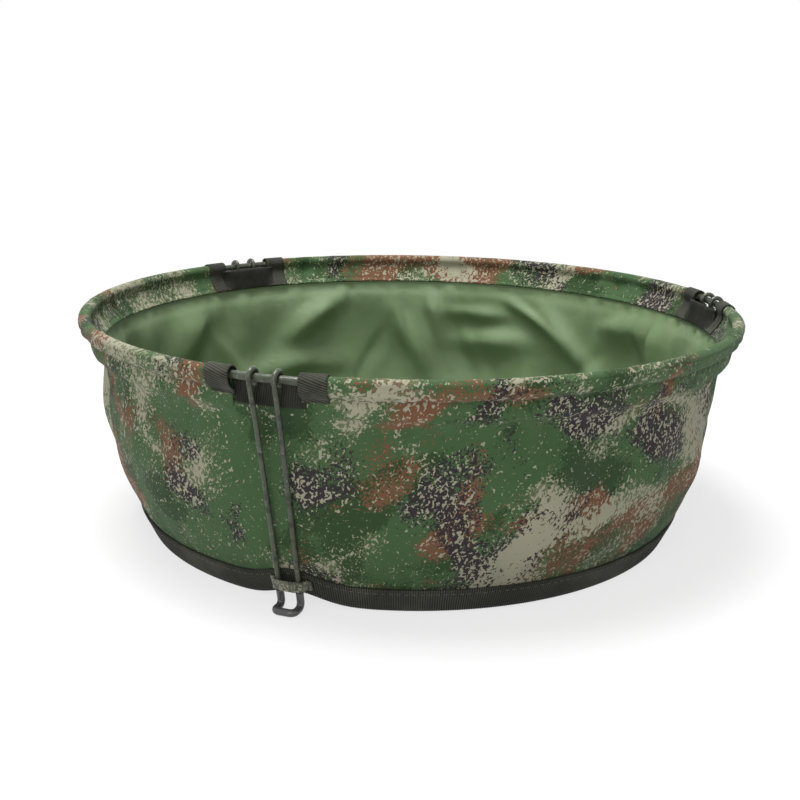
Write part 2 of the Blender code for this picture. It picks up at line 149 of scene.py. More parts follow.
def put(name, data):
    """A new object in the scene."""
    made = bpy.data.objects.new(name, data)
    scene.collection.objects.link(made)
    return made


world = bpy.data.worlds.new("studio")
scene.world = world
world.use_nodes = True
surround = world.node_tree.nodes["Background"]
surround.inputs["Color"].default_value = (1, 1, 1, 1)
strength = seen_white(Dye(world.node_tree)).span(0, 1, surround_strength, 1.0)
world.node_tree.links.new(strength.socket, surround.inputs["Strength"])

paper = bpy.data.materials.new("floor_paper")
paper.use_nodes = True
paper.node_tree.nodes.clear()
seen = seen_white(Dye(paper.node_tree))
matt = seen.node("ShaderNodeBsdfDiffuse", {"Color": (*floor_colour, 1)})
white = seen.node("ShaderNodeEmission", {"Color": (1, 1, 1, 1), "Strength": 1.0})
spot = seen.node("ShaderNodeTexCoord", output="Object")
away = seen.node("ShaderNodeVectorMath", {0: spot}, output="Value", operation="LENGTH")
whiteness = seen * away.span(*floor_fade, floor_near_share, 1)
mixed = seen.node("ShaderNodeMixShader", {0: whiteness, 1: matt, 2: white})
mixed.node("ShaderNodeOutputMaterial", {"Surface": mixed})

corners = [(x * floor_reach, y * floor_reach, -floor_drop) for x, y in ((-1, -1), (1, -1), (1, 1), (-1, 1))]
floor_mesh = bpy.data.meshes.new("studio_floor")
floor_mesh.from_pydata(corners, [], [(0, 1, 2, 3)])
floor_mesh.materials.append(paper)
put("studio_floor", floor_mesh)

for name, (place, size, power) in lamps.items():
    lamp = bpy.data.lights.new(name, "AREA")
    lamp.size = size
    lamp.energy = power
    lamp_object = put(name, lamp)
    lamp_object.location = place
    lamp_object.rotation_euler = (camera_aim - Vector(place)).to_track_quat("-Z", "Y").to_euler()

camera = put("camera", bpy.data.cameras.new("camera"))
camera.location = camera_place
look = (camera_aim - camera_place).to_track_quat("-Z", "Y") @ Quaternion((0, 0, 1), camera_roll)
camera.rotation_euler = look.to_euler()
camera.data.angle = lens_view
camera.data.clip_start = camera_near
scene.camera = camera

# The rim: a hoop of 3.6 mm spring wire, painted olive grey, that holds the mouth open. It is bare
# only in the three notches, where the legs hook over it and have rubbed the paint thin.
ring_radius = 0.161915
ring_height = 0.107102
rim_wire_radius = 0.0018
leg_pitch = full_turn / 3
legs = {number: -math.pi / 2 + leg_pitch * (number - 1) for number in (1, 2, 3)}
wire_colour = (0.032, 0.041, 0.024)
wire_pale = (0.045, 0.056, 0.033)
wire_rubbed = (0.11, 0.11, 0.085)
wire_grime = (0.016, 0.019, 0.012)


def surface(name, *grids):
    """One mesh from grids, each (points, uv) or (points, uv, print) in rows by columns. Where the
    last column or row lies on the first, the two are joined. A face looks towards the columns' run
    crossed with the rows' run."""
    places, quads, uvs, prints = [], [], [], []
    count = 0
    for points, uv, *rest in grids:
        rows, columns = points.shape[:2]
        own_columns = columns - np.allclose(points[:, 0], points[:, -1])
        own_rows = rows - np.allclose(points[0], points[-1])
        row, column = np.arange(rows)[:, None] % own_rows, np.arange(columns) % own_columns
        number = count + row * own_columns + column
        for table, values in ((quads, number), (uvs, uv)):
            ring = [values[:-1, :-1], values[:-1, 1:], values[1:, 1:], values[1:, :-1]]
            table.append(np.stack(ring, axis=2).reshape(-1, 4, *values.shape[2:]))
        places.append(points[:own_rows, :own_columns].reshape(-1, 3))
        prints += [values[:own_rows, :own_columns].reshape(-1, 3) for values in rest]
        count += own_rows * own_columns
    places, quads, uvs = map(np.concatenate, (places, quads, uvs))
    mesh = bpy.data.meshes.new(name)
    mesh.vertices.add(len(places))
    mesh.vertices.foreach_set("co", places.ravel())
    mesh.loops.add(quads.size)
    mesh.loops.foreach_set("vertex_index", quads.ravel())
    mesh.polygons.add(len(quads))
    mesh.polygons.foreach_set("loop_start", np.arange(0, quads.size, 4))
    mesh.uv_layers.new(name="cloth").uv.foreach_set("vector", uvs.ravel())
    if prints:
        where = mesh.attributes.new("print", "FLOAT_VECTOR", "POINT")
        where.data.foreach_set("vector", np.concatenate(prints).ravel())
    mesh.update(calc_edges=True)
    mesh.validate()
    mesh.shade_smooth()
    return mesh


def fitted(mesh, finish, body, nodes=(), thickness=None):
    """Put a piece in with its material, let it ride, and hide the parts it replaces. A thickness
    turns a sheet into cloth of that thickness, half to each side."""
    piece = put(mesh.name, mesh)
    mesh.materials.append(finish)
    if thickness:
        cloth = piece.modifiers.new("thickness", "SOLIDIFY")
        cloth.thickness = thickness
        cloth.offset = 0
    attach(piece, body)
    if nodes:
        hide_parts(*nodes)
    return piece


def dyed(name, kinds=("Object", "UV")):
    """Start a material, and give where a point lies: in the piece's own axes (Object) and on its
    flat cloth (UV)."""
    made = bpy.data.materials.new(name)
    made.use_nodes = True
    return [Dye(made.node_tree).node("ShaderNodeTexCoord", output=kind) for kind in kinds]


def finished(name, colour, roughness, height=None, depth=0.0, **plain):
    """Close a material: colour, roughness and bump height from Dyes of one tree, and the
    Principled shader's plain settings by their names with _ for a space."""
    tree = colour.tree
    shader = tree.nodes["Principled BSDF"]
    tree.links.new(colour.socket, shader.inputs["Base Color"])
    tree.links.new(roughness.socket, shader.inputs["Roughness"])
    if height:
        bump = height.node("ShaderNodeBump", {"Height": height, "Distance": depth})
        tree.links.new(bump.socket, shader.inputs["Normal"])
    for key, value in plain.items():
        shader.inputs[key.replace("_", " ")].default_value = value
    return bpy.data.materials[name]


def joined(*parts):
    """Arrays whose shapes fit, joined as the coordinates of places."""
    return np.stack(np.broadcast_arrays(*parts), axis=-1)


def spun(angle, radius, height):
    """Points round the bowl from arrays of angles, radii and heights."""
    return joined(radius * np.cos(angle), radius * np.sin(angle), height)


def wire_paint(name):
    """Olive-grey paint on wire: cloudy colour, rubbed lighter in small worn places, dull in others."""
    place, = dyed(name, ["Object"])
    cloud = place.noise(90, 2)
    wear = place.noise(420, 3, 0.6).span(0.56, 0.70)
    grime = place.noise(160, 2).span(0.52, 0.66)
    paint = cloud.span(0.3, 0.7).blend(wire_colour, wire_pale)
    colour = wear.blend(grime.blend(paint, wire_grime), wire_rubbed)
    roughness = cloud.span(0.3, 0.7, 0.26, 0.38) + grime * 0.16
    return finished(name, colour, roughness, place.noise(1500, 2), 0.00004, Metallic=0.05, Coat_Weight=0.15,
                    Coat_Roughness=0.18, Specular_IOR_Level=0.35)


hoop_turns = np.linspace(0, full_turn, 721)[None, :]
hoop_ring = np.linspace(0, full_turn, 21)[:, None]
hoop_points = spun(hoop_turns, ring_radius + rim_wire_radius * np.cos(hoop_ring),
                   ring_height + rim_wire_radius * np.sin(hoop_ring))
hoop_uv = joined(hoop_turns * ring_radius, hoop_ring * rim_wire_radius)
fitted(surface("rim_hoop", (hoop_points, hoop_uv)), wire_paint("rim_wire_paint"), "rim",
       ["rim_wire"])

# The hem: the printed cloth is folded over the wire in three lengths, from notch to notch, and
# sewn through below it. The row of stitches draws it in, so that it puckers along the row.
hem_cloth = 0.0006
fit_gap = 0.0003
tunnel_radius = 0.0025977
hem_drop = 0.014
hem_inset = 0.0060
notch_angle = 0.033 / 2 / ring_radius
tape_width = 0.010
crease_drop = 0.0072
crease_width = 0.0008
crease_depth = 0.00045
inner_crease_rise = 0.0026
leaf_stretch = 1.09
pucker_pitch = 0.0058
pucker_depth = 0.00022
pucker_reach = 0.0030
twist_depth = 0.00034
hem_waves = 0.00010
hem_flat_run = 0.006
# Section of the hem: drops below the wire's middle and insets up the outer leaf, degrees over the
# wire, and drops and insets down the inner leaf
outer_leaf = ((0.014, -0.0003), (0.0122, 0.0001), (0.0098, 0.0009), (crease_drop, 0.0017),
              (0.0052, 0.0004), (0.0030, -0.0005))
hem_turn = (10, 40, 70, 100, 130, 160, 185)
inner_leaf = ((0.0045, 0.0029), (0.0072, 0.0028), (0.0100, 0.0034), (0.0125, 0.0042), (0.0142, 0.0048))
print_radius = 0.15
print_slant = 0.16
weave_pitch = 0.00046
print_green = (0.044, 0.088, 0.034)
print_tan = (0.268, 0.258, 0.186)
# Noises of the print: stretch upwards, shift, and scale, detail, roughness and distortion
print_noises = {
    "speck": (1, (3.1, 0, 0), (880, 1.5, 0.55)),
    "grain": (1, (0, 5.2, 0), (1020, 1.5, 0.5)),
    "streak": (0.8, (0, 0, 7.7), (660, 1.0, 0.5, 0.6)),
    "pale": (1.1, (0.31, 0, 0), (22, 2.5, 0.55, 0.5)),
    "deep": (1.1, (0, 0.73, 0), (30, 2.0, 0.5, 0.3)),
    "rust": (1.1, (0, 0, 1.37), (24, 2.0, 0.5, 0.5)),
    "dark": (1.1, (2.21, 0, 0.4), (22, 2.0, 0.5, 0.4)),
}
# Patches, each printed over the last: its cloud, the fine noise that breaks its edge and how far,
# the levels between which it fills, and its colour
print_patches = (
    ("deep", "speck", 0.22, (0.49, 0.55), (0.023, 0.050, 0.017)),
    ("pale", "grain", 0.44, (0.535, 0.570), (0.108, 0.132, 0.070)),
    ("rust", "grain", 0.36, (0.565, 0.585), (0.135, 0.060, 0.032)),
    ("dark", "speck", 0.36, (0.600, 0.620), (0.026, 0.020, 0.024)),
    ("pale", "streak", 0.54, (0.588, 0.612), print_tan),
)


def length_along(path):
    """How far along a path each of its places lies."""
    return np.append(0, np.cumsum(np.linalg.norm(np.diff(path, axis=0), axis=1)))


def evened(path, count):
    """A path in places of even spacing, and how far along it each lies."""
    length = length_along(path)
    even = np.linspace(0, length[-1], count)
    return np.stack([np.interp(even, length, column) for column in path.T], axis=1), even


def eased(points, count):
    """An even line through the given points, and how far along it each place lies: between two
    points a cubic that leans along the chord of their neighbours (Catmull-Rom)."""
    points = np.asarray(points, float)
    ends = np.vstack([2 * points[0] - points[1], points, 2 * points[-1] - points[-2]])
    step = np.linspace(0, len(points) - 1, 40 * len(points))
    first = np.minimum(step.astype(int), len(points) - 2)
    part = (step - first)[:, None]
    a, b, c, d = (ends[first + k] for k in range(4))
    line = b + part / 2 * ((c - a) + part * ((2 * a - 5 * b + 4 * c - d) + part * (3 * b - a - 3 * c + d)))
    return evened(line, count)


def unit(vectors):
    """The same directions, each of length 1."""
    return vectors / np.linalg.norm(vectors, axis=-1, keepdims=True)


def sides(line):
    """Unit vectors square to a line of (radius, height), to its right side."""
    run = unit(np.gradient(line, axis=0))
    return np.stack([run[:, 1], -run[:, 0]], axis=1)


def moved(line, relief):
    """Radii and heights round the bowl of a line, each place moved square to it by the relief."""
    square = sides(line)
    return [line[:, k:k + 1] + square[:, k:k + 1] * relief for k in (0, 1)]


def hem_point(share, inset=0.0):
    """Middle of the hem's outer leaf from the wire (0) to the seam (1), drawn in by the square of
    the share, and moved square to the leaf by an inset."""
    run = unit(np.array([-2 * hem_inset * share, -hem_drop]))
    return (ring_radius + tunnel_radius - hem_inset * share ** 2 + run[1] * inset,
            ring_height - hem_drop * share - run[0] * inset)


leaf_across = hem_inset - tunnel_radius
leaf_turn = math.atan2(hem_drop, leaf_across) - math.acos(tunnel_radius / math.hypot(hem_drop, leaf_across))
leaf_top = np.array([ring_radius + tunnel_radius * math.cos(leaf_turn),
                     ring_height - tunnel_radius * math.sin(leaf_turn)])
leaf_run = (np.array(hem_point(1)) - leaf_top) / (hem_drop - ring_height + leaf_top[1])
leaf_inward = unit(np.array([leaf_run[1], -leaf_run[0]]))


def leaf_point(drop, inset):
    """Middle of the outer leaf a given drop below the wire's middle, moved inwards by an inset. The
    leaf runs straight from where it leaves the wire, at a tangent, to the seam."""
    return tuple(leaf_top + leaf_run * (drop - ring_height + leaf_top[1]) + leaf_inward * inset)


def leg_offset(angle):
    """Angle from the nearest leg."""
    return (angle - legs[1] + leg_pitch / 2) % leg_pitch - leg_pitch / 2


def eased_step(share):
    """From 0 to 1, flat at both ends: share squared times 3 less 2 shares."""
    share = np.clip(share, 0, 1)
    return share * share * (3 - 2 * share)


def crumple(angle, height, seed, turns, climb, count=14):
    """Soft random creases: a sum of waves of whole numbers of turns, each with a slant and start."""
    rng = np.random.default_rng(seed)
    waves = [rng.integers(*turns, count), rng.uniform(-climb, climb, count), rng.uniform(0, full_turn, count)]
    total = sum(np.cos(k * angle + c * height + p) for k, c, p in zip(*waves))
    return total / math.sqrt(count / 2)


def printed(angle, length):
    """Where the print lies on a piece: round the bowl in two coordinates, then up the cloth. The
    place round the bowl shifts with the height, so that the patches slant."""
    return spun(angle - print_slant * length / print_radius, print_radius, length)


def laid_out(angle, length):
    """The same place as flat cloth, in metres round and up."""
    return joined(angle * print_radius, length)


hem_arc = [(ring_radius + tunnel_radius * math.cos(a), ring_height + tunnel_radius * math.sin(a))
           for a in np.radians(hem_turn)]
outside, inside = ([leaf_point(*place) for place in leaf] for leaf in (outer_leaf, inner_leaf))
hem_line, hem_length = eased(outside + hem_arc + inside, 76)
hem_sides = sides(hem_line)
hem_reach = hem_length[-1]
outer_crease = hem_length[:, None] - (hem_drop - crease_drop) * leaf_stretch
inner_crease = hem_reach - inner_crease_rise - hem_length[:, None]


def hem_relief(angle):
    """How far the hem stands out: grooves along its two rows of stitches, puckers that fade from
    them, slanting wrinkles where the leaf twists round the wire, and slow waves that fade upwards."""
    relief = np.zeros((len(hem_length), angle.size))
    for away, depth in ((outer_crease, 1.0), (inner_crease, 0.6)):
        relief -= depth * crease_depth * np.exp(-(away / crease_width) ** 2)
        pucker = np.cos(full_turn * angle * ring_radius / pucker_pitch + 2 * np.sin(9 * angle))
        relief += depth * pucker_depth * pucker * np.exp(-(away / pucker_reach) ** 2)
    down = np.abs(hem_length[:, None] - hem_reach / 2) / (hem_reach / 2)
    twist = crumple(angle, hem_length[:, None], 31, (40, 120), 420)
    patchy = eased_step(0.5 + crumple(angle, 0, 37, (3, 12), 0) / 2)
    relief += 4 * down * (1 - down) * twist_depth * twist * patchy
    relief += hem_waves * eased_step(down) * crumple(angle, 0, 3, (14, 60), 0)
    beside_tape = (np.abs(leg_offset(angle)) - notch_angle) * ring_radius - tape_width
    return relief * eased_step(beside_tape / hem_flat_run + 0.1)


# Woven cloth with a speckled woodland print: clouds choose the patches, and a fine noise added to
# each cloud breaks its edge into merging specks. Every patch carries pale specks.
flat, = dyed("camo_print", ["UV"])
place = flat.node("ShaderNodeAttribute", output="Vector", attribute_name="print")
noises = {key: place.each("MULTIPLY", (1, 1, upwards)).each("ADD", shift).noise(*look)
          for key, (upwards, shift, look) in print_noises.items()}
colour = print_green
for cloud, fine, reach, levels, tone in print_patches:
    colour = (noises[cloud] + noises[fine] * reach - reach / 2).span(*levels).blend(colour, tone)
strewn = noises["rust"].span(0.54, 0.66).top(noises["dark"].span(0.54, 0.68))
strewn = strewn.top(noises["pale"].span(0.44, 0.58))
fleck = noises["streak"] * 0.8 + noises["grain"] * 0.5 + strewn * 0.115
colour = fleck.span(0.815, 0.845).blend(colour, print_tan)
weave = flat.axis(0).waves(weave_pitch) * flat.axis(1).waves(weave_pitch)
# The weave's colour follows its bump: painted shade in the hollows and painted highlight on the crossings
colour = colour.each("MULTIPLY", weave.span(-1, 1, 0.92, 1.06))
camo_print = finished("camo_print", colour, noises["speck"].span(0.3, 0.7, 0.74, 0.84), weave, 0.00004,
                      Sheen_Weight=0.05, Sheen_Roughness=0.5, Specular_IOR_Level=0.12)
for number, start in legs.items():
    turns = np.linspace(start + notch_angle, start + leg_pitch - notch_angle, 420)[None, :]
    points = spun(turns, *moved(hem_line, hem_relief(turns)))
    lengths = hem_length[:, None]
    mesh = surface(f"hem_cloth_{number}", (points, laid_out(turns, lengths), printed(turns, lengths)))
    fitted(mesh, camo_print, "rim", [f"hem_sleeve_{number}"], hem_cloth)

# The stitches: one row of olive thread round the hem, sewn through both leaves under the wire, and
# one near the base tape's upper edge. Each is a length of thread that dips into the cloth.
stitch_pitch = 0.0032
stitch_length = 0.0023
stitch_clear = 0.0125
thread_radius = 0.00016
thread_twist = 0.0004
thread_colour = (0.100, 0.105, 0.075)
thread_tone_and_groove_shade = (0.045, 0.048, 0.034)


def stitches(name, places, outwards, body):
    """A row of stitches at the given places: thread of a six-sided section along the row, thinner
    and lower by the square of the distance from each stitch's middle."""
    along = np.roll(places, -1, axis=0) - np.roll(places, 1, axis=0)
    along[0], along[-1] = places[1] - places[0], places[-1] - places[-2]
    along, outwards = unit(along), unit(outwards)
    run, ring = np.linspace(-1, 1, 7)[:, None], np.linspace(0, full_turn, 7)[None, :]
    thin = thread_radius * np.sqrt(np.clip(1 - run ** 2, 0.002, 1))
    parts = (run * stitch_length / 2 + 0 * ring, thin * np.cos(ring),
             thin * np.sin(ring) + thread_radius * (0.6 - 1.5 * run ** 2))
    points = places[:, None, None] + sum(part[None, :, :, None] * way[:, None, None] for part, way in zip(
        parts, (along, np.cross(outwards, along), outwards)))
    uv = joined(run * stitch_length, ring * thread_radius)
    return fitted(surface(name, *((point, uv) for point in points)), olive_thread, body)


# Twisted thread: slanting bands along it, painted darker in the twist's grooves as painted shade, and a faint
# cloud of its own tone
place, flat = dyed("olive_thread")
twist = (flat.axis(0) * 0.6 + flat.axis(1)).waves(thread_twist)
colour = (twist * 0.3 + place.noise(60, 2)).span(0.2, 0.8).blend(thread_tone_and_groove_shade, thread_colour)
olive_thread = finished("olive_thread", colour, twist.span(-1, 1, 0.5, 0.7), twist, 0.00002,
                        Specular_IOR_Level=0.4)
crease_row = int(np.argmin(np.abs(outer_crease)))
for number, start in legs.items():
    margin = notch_angle + stitch_clear / ring_radius
    first, last = start + margin, start + leg_pitch - margin
    turns = np.linspace(first, last, round((last - first) * ring_radius / stitch_pitch))
    relief = hem_relief(turns[None, :])[crease_row] + hem_cloth / 2
    section = hem_line[crease_row] + hem_sides[crease_row] * relief[:, None]
    places = spun(turns, section[:, 0], section[:, 1])
    outwards = spun(turns, *hem_sides[crease_row])
    stitches(f"hem_stitches_{number}", places, outwards, "rim")

# The notch tapes: 10 mm ribbed tape folded over each end of the hem, and a length of it between
# them over the cut edge of the bowl. Its ribs slant along the wire on the ends and stand upright
# between them.
tape_thickness = 0.0006
tape_proud = 0.00075
tape_overrun = 0.0015
rib_pitch = 0.0010
rib_depth = 0.00013
rib_slant = math.radians(16)
rib_thread_pitch = 0.00045
# Section of the tape along a notch: inwards and down from the wire's middle, in millimetres
strip_section = ((2.5, 11.8), (2.4, 10.6), (2.8, 8.4), (3.6, 5.8), (4.7, 2.8), (5.2, 1.4), (5.8, 0.9),
                 (6.5, 1.4), (7.0, 3.4), (7.4, 6.8), (7.9, 9.8), (8.2, 12.2))
# The same section at the strip's ends, under the collars outside and on them inside
strip_end_section = ((3.7, 11.8), (3.6, 10.6), (3.3, 8.4), (3.3, 5.8), (3.5, 2.9), (3.8, 1.6), (4.2, 1.2),
                     (4.5, 1.6), (4.3, 3.6), (5.0, 6.8), (6.9, 9.8), (8.5, 12.2))
strip_overlap = 0.0012
strip_end_run = 0.0075
collar_drop = 0.0090
tape_colour = (0.026, 0.027, 0.020)
tape_pale = (0.062, 0.063, 0.048)
tape_groove_shade = (0.009, 0.010, 0.007)
collar_shade = 0.95
# The strip's tape is darkened to about a third: painted shade, as the strip lies in shadow under the wire
strip_painted_shade = 0.36


def ribbed_tape(name, shade):
    """Dark olive ribbed tape: rubbed pale along the ribs' backs, painted shade in the grooves between
    them, and fine threads across. The map's first direction runs across the ribs. A shade factor
    darkens all its colours: on the notch strips it is painted shade."""
    place, flat = dyed(name)
    groove_shade, body, back = ([level * shade for level in tone] for tone in (tape_groove_shade, tape_colour, tape_pale))
    cloud = place.noise(70, 3, 0.6)
    nap = place.noise(1300, 2, 0.6)
    rib = (flat.axis(0) * (full_turn / rib_pitch) + math.pi / 2).sine()
    cross = flat.axis(1).waves(rib_thread_pitch)
    rubbed = (rib * 0.22 + cloud + nap * 0.35).span(0.66, 0.98)
    # Between the ribs the tape takes a near-black colour: painted shade in the grooves
    colour = rib.span(-1.0, 0.1).blend(groove_shade, rubbed.blend(body, back))
    return finished(name, colour, nap.span(0.3, 0.7, 0.62, 0.80), cross * 0.35 + nap, 0.00006,
                    Sheen_Weight=0.04, Sheen_Roughness=0.4, Specular_IOR_Level=0.15)


def strip_path(section):
    """An even line through a section given inwards and down, and how far along it each place lies."""
    return eased([(ring_radius - inward / 1000, ring_height - down / 1000) for inward, down in section], 60)


collar_rows = slice(int(np.argmax(hem_line[:, 1] > ring_height - collar_drop)), None)
tape_line, tape_length = eased((hem_line + hem_sides * tape_proud)[collar_rows], 240)
strip_line, strip_length = strip_path(strip_section)
strip_end = strip_path(strip_end_section)[0]
strip_reach = notch_angle + strip_overlap / ring_radius
notch_tape = ribbed_tape("notch_tape", collar_shade)
strip_tape = ribbed_tape("strip_tape", strip_painted_shade)
for number, centre in legs.items():
    grids = []
    for side in (-1, 1):
        across = np.linspace(-tape_overrun, tape_width, 16)[::side] * side
        turns = (centre + side * notch_angle + across / ring_radius)[None, :]
        slanted = tape_length[:, None] * math.cos(rib_slant) + across * math.sin(rib_slant)
        along = across * math.cos(rib_slant) - tape_length[:, None] * math.sin(rib_slant)
        relief = rib_depth * np.cos(full_turn * slanted / rib_pitch)
        grids.append((spun(turns, *moved(tape_line, relief)), joined(slanted, along)))
    mesh = surface(f"notch_tape_{number}", *grids)
    fitted(mesh, notch_tape, "rim", [f"notch_binding_{number}"], tape_thickness)
    turns = np.linspace(centre - strip_reach, centre + strip_reach, 201)[None, :]
    relief = rib_depth * np.cos(full_turn * turns * ring_radius / rib_pitch)
    ending = eased_step(1 - (strip_reach - np.abs(turns - centre)) * ring_radius / strip_end_run)
    radius, height = (place + turned[:, None] * ending for place, turned in zip(
        moved(strip_line, relief), (strip_end - strip_line).T))
    strip_uv = joined(turns * ring_radius, strip_length[:, None])
    mesh = surface(f"notch_strip_{number}", (spun(turns, radius, height), strip_uv))
    strip = fitted(mesh, strip_tape, "rim", thickness=tape_thickness)
    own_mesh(strip)

# The outer wall: one strip of printed cloth, sewn to the hem above and into the base seam below.
# It bellies between the legs, dents behind them, and gathers where the seams draw it in.
wall_cloth = 0.0006
wall_bottom = 0.0015
base_radius = 0.1325
seam_inset = 0.0009
seam_radius, seam_height = hem_point(1, seam_inset)
wall_bulge = 0.0052
leg_dent = 0.0015
belly = 0.0012
wall_ripple = 0.0022
lobe_reach = 0.0036
lobe_lift = 0.0064
lobe_angle = 0.030 / base_radius
lobe_fade_height = 0.038
lobe_full_radius = base_radius - 0.00315
floor_flat_radius = 0.100
binding_height = 0.0125
# Section of the wall between its seams: share of the height, and share of the bulge
wall_shares = ((0.158, 0.444), (0.249, 0.802), (0.383, 1.0), (0.565, 0.748), (0.755, 0.145),
               (0.905, -0.458), (0.952, -0.396))
crease_reach = 0.00042
gather_reach = 0.00042
hem_gather_fade = 0.016
base_gather_share = 0.8
base_gather_height = 0.012
base_gather_fade = 0.010
# Where the seams let go: distance below the hem's seam, height of the foot, and rise above that
wall_hold = (0.004, 0.011, 0.006)
wall_top_places = ((1.02, 0.0001), (0.94, 0.00062))
notch_rise = 0.0032
notch_rise_below = 0.0060
notch_rise_beside = 0.0055
notch_rise_run = 0.0035
# Single folds: degrees round the bowl, height, slant in degrees, half length, half width below and
# above, and how far it stands out; lengths in millimetres
wall_folds = (
    (20, 44, 20, 20, 4.5, 6, -2.6), (14, 52, 35, 22, 5, 5, 2.1), (203, 72, 74, 22, 3.5, 4, -1.7),
    (209, 69, 80, 24, 3.5, 3.5, 1.8), (216, 71, 66, 24, 4, 3, -1.7), (223, 65, 70, 26, 4, 4, 1.8),
    (231, 73, 62, 20, 3.5, 3.5, -1.7), (238, 67, 58, 26, 4.2, 4.2, 1.5), (252, 28, 35, 28, 5, 5, 1.7),
    (262, 65, 50, 18, 4, 4, -1.5), (290, 61, -58, 26, 4.5, 3, 1.7), (300, 47, -50, 30, 5.5, 4, -1.7),
    (318, 34, 28, 34, 6, 4, 1.9), (335, 58, -64, 30, 5, 4, 1.7), (348, 41, -40, 26, 5, 5, -1.7),
    (45, 51, 60, 30, 5.5, 4, 1.8), (70, 39, -45, 34, 5.5, 4, 1.9), (96, 58, 64, 30, 5, 4, -1.7),
    (121, 47, -58, 30, 5.5, 4, 1.9), (158, 56, 55, 28, 5, 4, -1.7), (176, 42, -40, 30, 5.5, 4, 1.9),
    (190, 60, 68, 26, 4.5, 4, 1.7),
)
fold_radius = 145


def base_shift(angle, radius, height):
    """Pull the base seam out and up at each leg, as a bell curve of the angle from the leg."""
    lobe = np.exp(-(2 * leg_offset(angle) / lobe_angle) ** 2)
    hold = eased_step((radius - floor_flat_radius) / (lobe_full_radius - floor_flat_radius))
    pull = lobe * hold * (1 - eased_step((height - binding_height) / (lobe_fade_height - binding_height)))
    return radius + lobe_reach * pull, height + lobe_lift * pull


def ridges(folds, angle, height):
    """Single folds, each a long slanting mound: a bell curve of the distances along it and aside,
    with its own width on each side."""
    total = 0
    for degrees, middle, slant, length, below, above, reach in folds:
        across = ((angle - math.radians(degrees) + math.pi) % full_turn - math.pi) * fold_radius
        up = height * 1000 - middle
        lean = math.radians(slant)
        along = (across * math.cos(lean) + up * math.sin(lean)) / length
        aside = up * math.cos(lean) - across * math.sin(lean)
        aside = aside / np.where(aside > 0, above, below)
        total = total + reach / 1000 * np.exp(-along ** 2 - aside ** 2)
    return total


def loosened(height, hang, foot, rise):
    """From 0 at the seams to 1: over a distance below the hem's seam, and over a rise from a foot."""
    return eased_step((seam_height - height) / hang) * eased_step((height - foot) / rise)


def wall_fold(angle, height):
    """How far the wall stands out: dents behind the legs, bellies and slanting ripples between them,
    single folds and fine creases, all fading to the seams as half a sine wave, and gathers that hang
    from the hem and rise from the base."""
    low = seam_height * wall_shares[0][0]
    fading = np.sin(math.pi * np.clip((height - low) / (seam_height - low), 0, 1))
    free = (1 - np.cos(3 * leg_offset(angle))) / 2
    level = height / seam_height
    ripple = np.cos(10 * angle + 4 * level) + 0.6 * np.cos(17 * angle - 7 * level)
    broad = free * (belly + wall_ripple * ripple) - (1 - free) * leg_dent
    fine = crease_reach * crumple(angle, height, 11, (8, 34), 120)
    hang = np.exp(-((seam_height - height) / hem_gather_fade) ** 2)
    rise = base_gather_share * np.exp(-((height - base_gather_height) / base_gather_fade) ** 2)
    gather = gather_reach * crumple(angle, 0, 23, (40, 110), 0) * (hang + rise) * loosened(height, *wall_hold)
    return fading * (broad + fine + ridges(wall_folds, angle, height)) + gather


def wall_points(depth, top_places, count):
    """Section of the wall a given depth inside its middle, from the base seam up to the hem."""
    body = [(base_radius + (seam_radius - base_radius) * up + wall_bulge * out, seam_height * up)
            for up, out in wall_shares]
    top = [hem_point(*place) for place in top_places]
    line, length = eased([(base_radius, wall_bottom), *body, *top], count)
    return line - sides(line) * depth, length


wall_line, wall_length = wall_points(0.0, wall_top_places, 64)
wall_turns = np.linspace(0, full_turn, 661)[None, :]
radius, height = base_shift(wall_turns, wall_line[:, :1], wall_line[:, 1:])
# In a notch the wall's top edge rises behind the strip
beside_notch = (np.abs(leg_offset(wall_turns)) - notch_angle) * ring_radius
below_top = wall_line[-1, 1] - wall_line[:, 1:]
height = height + notch_rise * eased_step((notch_rise_beside - beside_notch) / notch_rise_run) * eased_step(
    1 - below_top / notch_rise_below)
points = spun(wall_turns, radius + wall_fold(wall_turns, wall_line[:, 1:]), height)
lengths = wall_length[:, None] - wall_length[-1]
mesh = surface("wall_cloth", (points, laid_out(wall_turns, lengths), printed(wall_turns, lengths)))
outer_wall = fitted(mesh, camo_print, "rim", ["outer_wall"], wall_cloth)

